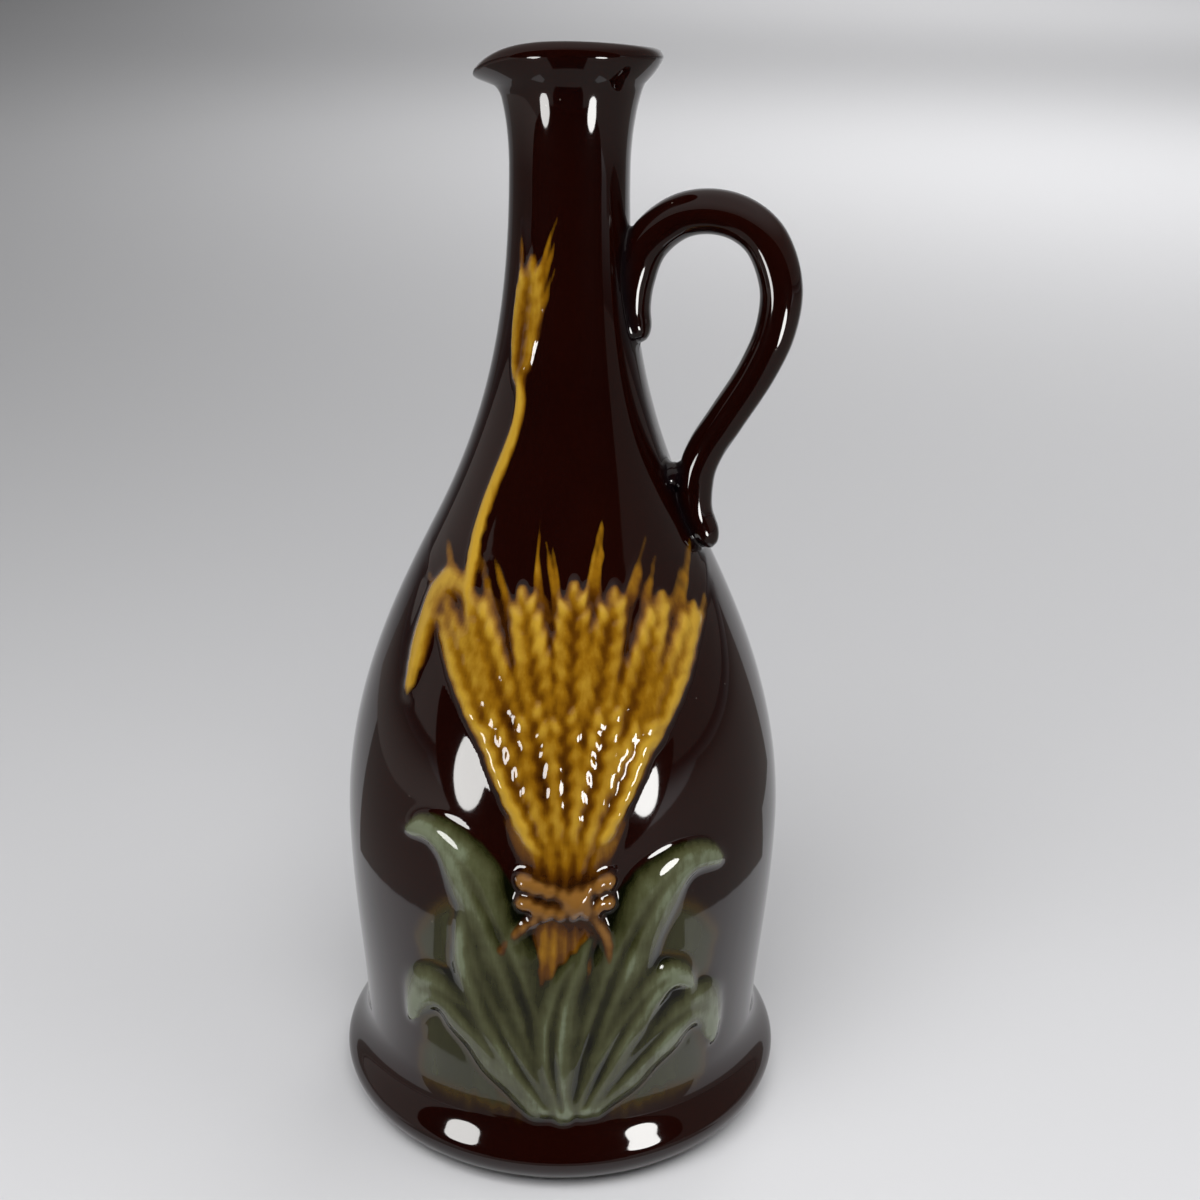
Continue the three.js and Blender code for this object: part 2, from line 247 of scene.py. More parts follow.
def draw_ear(sheet, points, half, rise, rng):
    """An ear of barley: two rows of grains that lean outwards, each with a long awn."""
    points = np.asarray(points)
    length = np.linalg.norm(np.diff(points, axis=0), axis=1).sum()
    pairs = max(4, int(round(length / 4.3)))
    pitch = length / (pairs + 0.6)
    awns = []
    where = sheet.near(points, half * 1.6)
    share, d = along_path(points, sheet.x[where], sheet.y[where])
    s = share * length
    taper = np.sin(np.pi * np.clip(0.1 + 0.86 * share, 0, 1)) ** 0.5
    total = rise * 0.45 * np.clip(1 - (d / (half * 0.8 * np.maximum(taper, 0.05))) ** 2, 0, 1)
    for i in range(pairs):
        for side in (-1, 1):
            at = pitch * (i + 0.55 + 0.25 * side)
            size = np.sin(np.pi * (0.14 + 0.78 * at / length)) ** 0.5
            lean = side * math.radians(22 + 8 * rng.random())
            centre = side * half * 0.46 * size
            along = (s - at) * math.cos(lean) + (d - centre) * math.sin(lean)
            off = -(s - at) * math.sin(lean) + (d - centre) * math.cos(lean)
            a, b = pitch * 1.18 * size, half * (0.40 + 0.05 * rng.random()) * size
            narrow = b * (1 - 0.42 * np.clip(along / a, -0.2, 1))
            far = (along / a) ** 2 + (off / narrow) ** 2
            seed = rise * (0.80 + 0.16 * along / a) * np.sqrt(np.clip(1 - far, 0, 1))
            seed *= 0.82 + 0.18 * size
            seed -= 0.13 * rise * np.exp(-((off / (0.2 * b)) ** 2)) * (far < 1)
            total = np.maximum(total, seed)
            k = min(len(points) - 2, int(at / length * (len(points) - 1)))
            way = points[k + 1] - points[k]
            way = way / np.linalg.norm(way)
            across = np.array([way[1], -way[0]])
            grain_tip = points[k] + way * 0.8 * a + across * (centre + side * 0.25 * half)
            awn_way = way + across * side * (0.10 + 0.10 * rng.random())
            awn_length = 8 + 7 * rng.random() + 5 * at / length
            awns.append((grain_tip, awn_way / np.linalg.norm(awn_way), awn_length))
    sheet.put(where, total, "gold")
    return awns


def draw_awn(sheet, root, way, length, half=0.62, rise=0.55):
    bend = np.array([way[1], -way[0]]) * length * 0.06 * np.sign(way[0] + 1e-9)
    t = np.linspace(0, 1, 7)[:, None]
    points = root + way * length * t + bend * t**2
    where = sheet.near(points, half * 2)
    share, off = along_path(points, sheet.x[where], sheet.y[where])
    width = half * (1 - 0.65 * share)
    h = rise * (1 - 0.7 * share) * np.clip(1 - (off / width) ** 2, 0, 1) * (share < 0.999)
    sheet.put(where, h, "gold", 0.9)


def draw_leaf(sheet, shape, half, rise, twist, colour="green"):
    """A broad blade with a sunken midrib and fine ribs. The twist lifts one half over the other."""
    points = curve(shape)
    where = sheet.near(points, half * 1.2)
    share, off = along_path(points, sheet.x[where], sheet.y[where])
    width = half * np.sin(np.pi * np.clip(0.12 + 0.87 * share, 0, 1)) ** 0.7
    width = width * (1 + 0.05 * np.sin(share * 23 + twist * 5))
    a = off / np.maximum(width, 1e-3)
    body = np.clip(1 - np.abs(a) ** 2.6, 0, 1)
    tall = rise * (0.7 + 0.3 * np.sin(np.pi * share))
    tall = tall * (1 + 0.28 * twist * np.clip(a, -1, 1))
    midrib = 0.42 * np.exp(-((a / 0.09) ** 2)) - 0.12 * np.exp(-((np.abs(a) - 0.22) / 0.1) ** 2)
    ribs = 0.07 * np.cos(2 * np.pi * 4.5 * a) * np.clip(1 - a**2, 0, 1)
    h = body * tall * (1 - midrib * (1 - 0.7 * share) + ribs)
    sheet.put(where, h, colour)


def draw_straw(sheet):
    """The bundle of straw: a narrow waist under the tie, spreading above it and below it."""
    share_mm = SHEAF_HEIGHT / 100
    for end, near_half, far_half, stalks in ((place(0, 66), 6, 12, 6.5), (place(0, 3), 6, 13, 7.5)):
        start = place(0, 51)
        where = sheet.near([start, end], far_half * share_mm * 1.2)
        inside = (sheet.y[where] - start[1]) / (end[1] - start[1])
        t = np.clip(inside, 0, 1)
        half = (near_half + (far_half - near_half) * t) * share_mm
        a = sheet.x[where] / half
        ridge = np.abs(np.cos(np.pi * stalks * 0.5 * a)) ** 0.6
        h = 2.3 * (1 - 0.4 * t) * np.clip(1 - np.abs(a) ** 3, 0, 1) * (0.66 + 0.34 * ridge)
        h *= smooth((1.02 - inside) / 0.06) * (inside >= -0.02)
        sheet.put(where, h, "gold", 0.75)


def twisted(share, off, half, rise, twists):
    """The rise of a twisted cord, for places so far along it and so far off its middle."""
    twist = np.sin(2 * np.pi * (share * twists + off / half * 0.35))
    rounded = np.sqrt(np.clip(1 - (off / half) ** 2, 0, 1))
    return rise * rounded * (0.84 + 0.16 * twist)


def draw_tie(sheet):
    """Two turns of twisted cord round the straw, a knot, and two loose ends."""
    for level in (49.0, 53.2):
        left, middle, right = place(-7.6, level + 1.2), place(0, level - 0.6), place(7.6, level + 1.2)
        sag = np.array([0, 0.4])
        points = np.array([left, (left + middle) / 2 - sag, middle, (right + middle) / 2 - sag, right])
        where = sheet.near(points, 4)
        share, off = along_path(points, sheet.x[where], sheet.y[where])
        sheet.put(where, twisted(share, off, CORD_WIDTH / 2, CORD_RISE, 7), "rust")
    for tip, bend in (((-13, 35), (-11, 46)), ((8, 33), (10, 45))):
        points = curve(((1.5, 50), bend, tip))
        where = sheet.near(points, 3)
        share, off = along_path(points, sheet.x[where], sheet.y[where])
        half = CORD_END_WIDTH / 2 * (1 - 0.2 * share)
        rise = CORD_END_RISE * (1 - 0.25 * share)
        sheet.put(where, twisted(share, off, half, rise, 9), "rust")
    knot = place(2, 51)
    where = sheet.near([knot], 5)
    far = ((sheet.x[where] - knot[0]) / 4.0) ** 2 + ((sheet.y[where] - knot[1]) / 3.6) ** 2
    sheet.put(where, 4.7 * np.sqrt(np.clip(1 - far, 0, 1)), "rust")


LEAVES = [
    (((6, 1), (31, 36), (34, 7)), 9.0, 2.1, 0.8),
    (((-5, 1), (-27, 42), (-34, 13)), 9.0, 2.1, -0.8),
    (((2, 3), (14, 68), (33, 52)), 10.2, 2.3, 0.7),
    (((-2, 3), (-16, 72), (-33, 58)), 10.2, 2.3, -0.7),
    (((4, 1), (17, 42), (27, 25)), 8.6, 2.6, 0.5),
    (((-3, 1), (-19, 30), (-20, 46)), 8.4, 2.6, -0.6),
    (((0, 0), (-6, 26), (5, 43)), 8.0, 2.9, 0.5),
]

# Rows of ears from the back to the front: how many, how far their roots are from the tie, the turn
# between neighbours, how much the outer ones droop, and the rise
EAR_ROWS = [
    (7, 31, 8.6, 3.0, 2.3),
    (5, 12.5, 11.0, 2.0, 3.2),
]


def ear_axis(root, angle, length, droop):
    """A line that leaves the root at an angle from upright and droops away from the middle."""
    way = np.array([math.sin(angle), math.cos(angle)])
    across = np.array([way[1], -way[0]]) * math.copysign(1, angle) * droop * abs(math.sin(2 * angle))
    t = np.linspace(0, 1, 14)[:, None]
    return root + way * length * t + across * t**2


def draw_stalk(sheet, rng):
    """One tall stalk that climbs the shoulder, with a blade curling off it and an ear on the neck."""
    route = np.array([place(*p) for p in ((-12, 86), (-19, 99), (-18, 114), (-12, 128), (-9.5, 142))])
    knots = np.linspace(0, 1, len(route))
    t = np.linspace(0, 1, 60)
    fit = np.polyfit(knots, route, 4)
    points = sum(np.outer(t ** (4 - i), fit[i]) for i in range(5))
    where = sheet.near(points, 3)
    share, off = along_path(points, sheet.x[where], sheet.y[where])
    half = 1.8 - 0.5 * share
    sheet.put(where, 1.5 * np.sqrt(np.clip(1 - (off / half) ** 2, 0, 1)), "gold", 0.95)
    draw_leaf(sheet, ((-18.5, 101), (-27, 113), (-35, 82)), 3.6, 1.7, 0.8, "gold")
    tip = ear_axis(points[-1], 0.12, 26, 0)
    for root, way, length in draw_ear(sheet, tip, 3.9, 2.1, rng):
        draw_awn(sheet, root, way, length * 0.8, 0.55, 0.45)


def draw_relief(sheet):
    rng = np.random.default_rng(7)
    for leaf in LEAVES[:2]:
        draw_leaf(sheet, *leaf)
    draw_straw(sheet)
    for count, start, spread, droop, rise in EAR_ROWS:
        awns = []
        for i in range(count):
            angle = math.radians((i - (count - 1) / 2) * spread + 3 * (rng.random() - 0.5))
            way = np.array([math.sin(angle), math.cos(angle)])
            root = place(0, 50) + way * start * SHEAF_HEIGHT / 100
            axis = ear_axis(root, angle, 30 + 3 * rng.random(), droop)
            awns += draw_ear(sheet, axis, 4.9, rise, rng)
        for root, way, length in awns:
            draw_awn(sheet, root, way, length)
    for leaf in LEAVES[2:]:
        draw_leaf(sheet, *leaf)
    draw_tie(sheet)
    draw_stalk(sheet, rng)


def paint_ground(sheet):
    """The thin green wash behind the leaves, brushed on by hand, with a ragged lower edge."""
    x, y = sheet.x, sheet.y
    ragged = 1.2 * np.sin(x * 1.9) + 0.9 * np.sin(x * 4.3 + 1) + 0.7 * np.sin(x * 9.1 + 2)
    bottom = smooth((y - (20.5 + ragged)) / 2.0)
    lean = 0.03 * (y - 60)
    side = 39 + 1.0 * np.sin(y * 0.31) + 0.5 * np.sin(y * 0.9)
    sides = smooth((side - np.abs(x - 1 - lean)) / 1.6)
    top_edge = 88 - 0.012 * x**2 + 3.0 * np.sin(x * 0.21 + 1.2)
    top = smooth((top_edge - y) / 5.0)
    free = 1 - np.clip(sheet.paint["gold"] + sheet.paint["rust"] + sheet.paint["green"], 0, 1)
    sheet.paint["ground"] = bottom * sides * top * free


def blur(values, radius):
    """A soft mean over the sheet's grid."""
    for axis in (0, 1):
        kernel = np.exp(-0.5 * (np.arange(-3 * radius, 3 * radius + 1) / radius) ** 2)
        kernel /= kernel.sum()
        values = np.apply_along_axis(lambda v: np.convolve(v, kernel, mode="same"), axis, values)
    return values


# The jug's wall

# Runs of rows up the outer wall: the height that each one reaches, and its count
WALL_RUNS = [(18, 12), (92, 84), (166, 104), (236, 64), (RIM_START[1], 24)]


def profile():
    """The closed profile from the middle of the underside to the middle of the floor inside, and the
    stretch of it that is the outer wall."""
    contact = FOOT_RADIUS - FOOT_TUCK
    ring = contact - FOOT_RING
    under = np.array([
        (0, RECESS_DEPTH),
        (ring * 0.5, RECESS_DEPTH),
        (ring - 3.2, RECESS_DEPTH),
        (ring - 1.9, RECESS_DEPTH - 0.15),
        (ring - 1.2, RECESS_DEPTH - 0.9),
        (ring - 0.7, 0.5),
        (ring, 0),
        (contact - 1, 0),
    ])
    roll = arc((contact, FOOT_ROLL), FOOT_TUCK, FOOT_ROLL, -90, 0, 14)[:-1]
    starts = [FOOT_ROLL] + [reached for reached, _ in WALL_RUNS]
    fine = np.concatenate([
        np.linspace(start, reached, count)[:-1] for start, (reached, count) in zip(starts, WALL_RUNS)
    ])
    outer = np.stack([wall_radius(fine), fine], axis=1)
    rim_centre = (RIM_RADIUS - RIM_ROUND, HEIGHT - RIM_ROUND)
    rim = arc(rim_centre, RIM_ROUND, RIM_ROUND, -math.degrees(RIM_UNDERCUT), 150, 16)
    corner_top = FLOOR_HEIGHT + FLOOR_CORNER
    heights = np.concatenate([
        np.linspace(FLARE[1], NECK[1], 8)[:-1],
        np.linspace(NECK[1], 190, 8)[:-1],
        np.linspace(190, corner_top + 6, 17),
    ])
    inner = inside_of(heights)
    bowl = arc((inner[-1, 0] - FLOOR_CORNER, corner_top), FLOOR_CORNER, FLOOR_CORNER, 0, -90, 8)
    end = np.array([(bowl[-1, 0] * 0.5, FLOOR_HEIGHT), (0, FLOOR_HEIGHT)])
    first = len(under) + len(roll)
    return np.vstack([under, roll, outer, rim, inner, bowl, end]), first, first + len(outer)


def mesh_object(name, verts, faces):
    mesh = bpy.data.meshes.new(name)
    mesh.from_pydata((np.asarray(verts) * MM).tolist(), [], faces)
    mesh.validate()
    mesh.update()
    obj = bpy.data.objects.new(name, mesh)
    bpy.context.scene.collection.objects.link(obj)
    return obj


def soften(values, radius, middle):
    """A soft mean that runs on across the seam at the back. The middle is the column to centre on."""
    return np.roll(blur(np.roll(values, middle, axis=1), radius), -middle, axis=1)


def build_wall():
    """The wall's vertices and faces, and the paint and carving of each vertex by name."""
    points, first, last = profile()
    even = np.linspace(0, 2 * np.pi, COLUMNS, endpoint=False)
    turn = even - FRONT_CROWDING * np.sin(even - SHEAF_TURN)
    rows = points[1:-1]
    radius = np.repeat(rows[:, :1], COLUMNS, axis=1)
    level = np.repeat(rows[:, 1:], COLUMNS, axis=1)
    outer = slice(first - 1, last - 1)
    away = wrapped(turn - SHEAF_TURN)
    z = rows[outer, 1]
    middle = COLUMNS // 2 - int(round(SHEAF_TURN / (2 * np.pi) * COLUMNS))
    sheet = Sheet(away[None, :] * wall_radius(z)[:, None], np.repeat(z[:, None], COLUMNS, axis=1))
    draw_relief(sheet)
    paint_ground(sheet)
    rise = soften(sheet.rise, 1, middle)
    broad = soften(rise, 4, middle)
    out, up = wall_normal(z)
    radius[outer] += rise * out[:, None]
    level[outer] += rise * up[:, None]
    lip = np.exp(-((wrapped(turn - LIP_TURN) / LIP_SPREAD) ** 2))
    pull = smooth((level - (HEIGHT - LIP_DEPTH)) / LIP_DEPTH)
    radius += LIP_REACH * pull * lip
    front = np.cos(turn - RIM_TURN)
    level -= (LIP_DIP * lip - RIM_TILT * front - RIM_SWELL * front**2) * pull
    ring = np.stack([radius * np.sin(turn), -radius * np.cos(turn), level], axis=2).reshape(-1, 3)
    verts = np.vstack([[0, 0, points[0, 1]], ring, [0, 0, points[-1, 1]]])
    count = len(rows)
    index = 1 + np.arange(count * COLUMNS).reshape(count, COLUMNS)
    right = np.roll(index, -1, axis=1)
    quads = np.stack([index[:-1], right[:-1], right[1:], index[1:]], axis=2).reshape(-1, 4)
    faces = quads.tolist()
    top = len(verts) - 1
    faces += [[0, int(right[0, j]), int(index[0, j])] for j in range(COLUMNS)]
    faces += [[top, int(index[-1, j]), int(right[-1, j])] for j in range(COLUMNS)]
    masks = {name: soften(values, 1, middle) for name, values in sheet.paint.items()}
    masks["ridge"] = np.clip((rise - broad) / FULL_RIDGE, -1, 1)
    flat = {}
    for name, values in masks.items():
        full = np.zeros((count, COLUMNS))
        full[outer] = values
        flat[name] = np.concatenate([[0], full.reshape(-1), [0]])
    return verts, faces, flat


# The handle

def between(u, start, end, first, second):
    """Where u marks a point on the way from the first to the second, which lie at start and end."""
    return (end - u) / (end - start) * first + (u - start) / (end - start) * second


def catmull_rom(points, count):
    """A smooth path through the points, spaced by the square root of their distances."""
    points = np.asarray(points, dtype=float)
    ends = np.vstack([2 * points[0] - points[1], points, 2 * points[-1] - points[-2]])
    path = []
    for i in range(1, len(ends) - 2):
        p = ends[i - 1:i + 3]
        gaps = np.sqrt(np.linalg.norm(np.diff(p, axis=0), axis=1))
        t = np.concatenate([[0], np.cumsum(gaps)])
        u = np.linspace(t[1], t[2], 24, endpoint=False)[:, None]
        a = [between(u, t[k], t[k + 1], p[k], p[k + 1]) for k in range(3)]
        b = [between(u, t[k], t[k + 2], a[k], a[k + 1]) for k in range(2)]
        path.append(between(u, t[1], t[2], b[0], b[1]))
    path = np.vstack(path + [ends[-2:-1]])
    far = np.concatenate([[0], np.cumsum(np.linalg.norm(np.diff(path, axis=0), axis=1))])
    even = np.linspace(0, far[-1], count)
    return np.stack([np.interp(even, far, path[:, k]) for k in range(path.shape[1])], axis=1), far[-1]


# The centre line above its upper root, and between its two roots, as shares of the way out and up
HANDLE_ARCH = [
    (0.01, 0.31),
    (0.1, 0.66),
    (0.3, 0.925),
    (0.51, 1),
    (0.72, 0.94),
    (0.885, 0.75),
    (1, 0.317),
]
HANDLE_FALL = [(0.963, 0.933), (0.755, 0.708), (0.382, 0.439), (0.131, 0.26), (0.023, 0.133)]
HANDLE_STEPS = 160
HANDLE_SIDES = 36

# How deep the strap's roots sink into the wall, and how far out the strap stands free of it
ROOT_DEPTH = 1.6
STRAP_FREE = 45


def build_handle():
    half = HANDLE_THICKNESS / 2
    out = HANDLE_REACH - half
    on_upper = wall_radius(UPPER_ROOT) - 0.4
    on_lower = wall_radius(LOWER_ROOT) + ROOT_STAND_OFF
    upper_end = UPPER_ROOT - UPPER_TAIL
    loop_height = HANDLE_TOP - half - UPPER_ROOT
    drop = UPPER_ROOT - LOWER_ROOT
    points = [(wall_radius(upper_end) + 0.2, upper_end), (on_upper, UPPER_ROOT)]
    for across, up in HANDLE_ARCH:
        points.append((on_upper + (out - on_upper) * across, UPPER_ROOT + loop_height * up))
    for across, up in HANDLE_FALL:
        points.append((on_lower + (out - on_lower) * across, LOWER_ROOT + drop * up))
    points += [(on_lower, LOWER_ROOT)]
    for share in (0.35, 0.7, 1.0):
        z = LOWER_ROOT - LOWER_TAIL * share
        points.append((wall_radius(z) + TAIL_STAND_OFF, z))
    steps, sides = HANDLE_STEPS, HANDLE_SIDES
    path, length = catmull_rom(points, steps)
    ahead = np.gradient(path, axis=0)
    ahead /= np.linalg.norm(ahead, axis=1)[:, None]
    normal = np.stack([-ahead[:, 1], ahead[:, 0]], axis=1)
    share = np.linspace(0, 1, steps)
    end = np.minimum(share, 1 - share) * length
    rounding = np.sqrt(np.clip(1 - (1 - np.clip(end / TAIL_ROUNDING, 0, 1)) ** 2, 0, 1))
    rounding = np.maximum(rounding, 0.06)
    tail = smooth(end / (2 * UPPER_TAIL))
    slim = 1 - HANDLE_SLIMMING * smooth((share - 0.4) / 0.3)
    thick = half * (0.74 + 0.26 * tail) * slim * rounding
    wide = HANDLE_WIDTH / 2 * (0.85 + 0.15 * tail) * slim * rounding
    angle = np.linspace(0, 2 * np.pi, sides, endpoint=False)
    x = path[:, :1] + normal[:, :1] * thick[:, None] * np.cos(angle)
    z = path[:, 1:] + normal[:, 1:] * thick[:, None] * np.cos(angle)
    y = wide[:, None] * np.sin(angle)
    root = wall_radius(z) - ROOT_DEPTH
    reach = np.hypot(x, y)
    push = np.maximum(root / np.maximum(reach, 1e-6), 1.0)
    near = x < STRAP_FREE
    x = np.where(near, x * push, x)
    y = np.where(near, y * push, y)
    ring = np.stack([x, y, z], axis=2).reshape(-1, 3)
    first = ring[:sides].mean(axis=0)
    final = ring[-sides:].mean(axis=0)
    verts = np.vstack([ring, first, final])
    index = np.arange(steps * sides).reshape(steps, sides)
    right = np.roll(index, -1, axis=1)
    faces = np.stack([index[:-1], index[1:], right[1:], right[:-1]], axis=2).reshape(-1, 4).tolist()
    a, b = len(ring), len(ring) + 1
    faces += [[a, int(index[0, j]), int(right[0, j])] for j in range(sides)]
    faces += [[b, int(right[-1, j]), int(index[-1, j])] for j in range(sides)]
    return verts, faces


def build_web():
    """The clay pressed into the corner between the strap and the wall, above the lower root."""
    steps, sides = 10, 20
    verts = []
    for i in range(steps + 1):
        slope = math.pi * i / steps
        for k in range(sides):
            turn = 2 * math.pi * k / sides
            verts.append((
                wall_radius(WEB_HEIGHT) + 0.6 + WEB_THICKNESS / 2 * math.sin(slope) * math.cos(turn),
                WEB_WIDTH / 2 * math.sin(slope) * math.sin(turn),
                WEB_HEIGHT + WEB_RISE * math.cos(slope),
            ))
    faces = []
    for i in range(steps):
        for k in range(sides):
            a, b = i * sides + k, i * sides + (k + 1) % sides
            faces.append((a, b, b + sides, a + sides))
    return verts, faces


def close_mesh(obj):
    """Welds the seams of a closed mesh and turns its faces outwards."""
    mesh = bmesh.new()
    mesh.from_mesh(obj.data)
    bmesh.ops.remove_doubles(mesh, verts=mesh.verts, dist=1e-6)
    bmesh.ops.recalc_face_normals(mesh, faces=mesh.faces)
    if mesh.calc_volume(signed=True) < 0:
        bmesh.ops.reverse_faces(mesh, faces=mesh.faces)
    mesh.to_mesh(obj.data)
    mesh.free()


# Along the seam the clay is smoothed and the glaze pools, up to these distances from it
SMOOTH_REACH = 2.6 * MM
POOL_REACH = 3.4 * MM
SMOOTH_ROUNDS = 14

# The handle's seams lie beyond these places along X and Z
SEAM_SIDE = 8 * MM
SEAM_FLOOR = 140 * MM


def join_handle(jug, pieces):
    """Joins the handle to the wall, and runs the glaze into the corner between them."""
    known = kdtree.KDTree(sum(len(piece.data.vertices) for piece in [jug] + pieces))
    for piece in [jug] + pieces:
        for v in piece.data.vertices:
            known.insert(v.co, v.index)
    known.balance()
    for piece in pieces:
        step = jug.modifiers.new("join", "BOOLEAN")
        step.operation = "UNION"
        step.solver = "EXACT"
        step.object = piece
    graph = bpy.context.evaluated_depsgraph_get()
    joined = bpy.data.meshes.new_from_object(jug.evaluated_get(graph))
    jug.modifiers.clear()
    old = jug.data
    jug.data = joined
    bpy.data.meshes.remove(old)
    for piece in pieces:
        bpy.data.objects.remove(piece)
    mesh = bmesh.new()
    mesh.from_mesh(jug.data)
    bmesh.ops.remove_doubles(mesh, verts=mesh.verts, dist=2e-5)
    layer = mesh.verts.layers.float.new("pool")
    seam = [v for v in mesh.verts if known.find(v.co)[2] > 2e-6]
    near = kdtree.KDTree(len(seam))
    for i, v in enumerate(seam):
        near.insert(v.co, i)
    near.balance()
    away = {v: near.find(v.co)[2] for v in mesh.verts if v.co.x > SEAM_SIDE and v.co.z > SEAM_FLOOR}
    touched = [v for v, d in away.items() if d < SMOOTH_REACH]
    for _ in range(SMOOTH_ROUNDS):
        moved = {}
        for v in touched:
            mean = sum((e.other_vert(v).co for e in v.link_edges), Vector()) / len(v.link_edges)
            weight = 0.6 * (1 - away[v] / SMOOTH_REACH)
            moved[v] = v.co.lerp(mean, weight)
        for v, co in moved.items():
            v.co = co
    for v, d in away.items():
        v[layer] = max(0.0, 1 - d / POOL_REACH)
    mesh.to_mesh(jug.data)
    mesh.free()


# Materials

def node(tree, kind, **values):
    made = tree.nodes.new(kind)
    for name, value in values.items():
        setattr(made, name, value)
    return made


def attribute(tree, name):
    return node(tree, "ShaderNodeAttribute", attribute_name=name).outputs["Fac"]


def noise(tree, place_socket, scale, detail, roughness=0.55, stretch=None):
    source = place_socket
    if stretch:
        mapping = node(tree, "ShaderNodeMapping")
        mapping.inputs["Scale"].default_value = stretch
        tree.links.new(place_socket, mapping.inputs["Vector"])
        source = mapping.outputs["Vector"]
    made = node(tree, "ShaderNodeTexNoise")
    made.inputs["Scale"].default_value = scale
    made.inputs["Detail"].default_value = detail
    made.inputs["Roughness"].default_value = roughness
    tree.links.new(source, made.inputs["Vector"])
    return made.outputs["Fac"]


def ramp(tree, value, stops):
    made = node(tree, "ShaderNodeValToRGB")
    while len(made.color_ramp.elements) < len(stops):
        made.color_ramp.elements.new(0.5)
    for element, (at, colour) in zip(made.color_ramp.elements, stops):
        element.position = at
        element.color = (*colour, 1)
    tree.links.new(value, made.inputs["Fac"])
    return made.outputs["Color"]


def maths(tree, kind, a, b=None, c=None, clamp=False):
    made = node(tree, "ShaderNodeMath", operation=kind, use_clamp=clamp)
    for socket, value in zip(made.inputs, (a, b, c)):
        if value is None:
            continue
        if hasattr(value, "links"):
            tree.links.new(value, socket)
        else:
            socket.default_value = value
    return made.outputs["Value"]


def mix(tree, share, a, b, kind="MIX"):
    made = node(tree, "ShaderNodeMix", data_type="RGBA", blend_type=kind)
    for socket, value in ((made.inputs[0], share), (made.inputs[6], a), (made.inputs[7], b)):
        if hasattr(value, "links"):
            tree.links.new(value, socket)
        elif isinstance(value, tuple):
            socket.default_value = (*value, 1)
        else:
            socket.default_value = value
    return made.outputs[2]


def painted(tree, name):
    """The cover of one colour, with a crisp brushed edge."""
    return maths(tree, "MULTIPLY_ADD", attribute(tree, name), 2.8, -0.9, clamp=True)


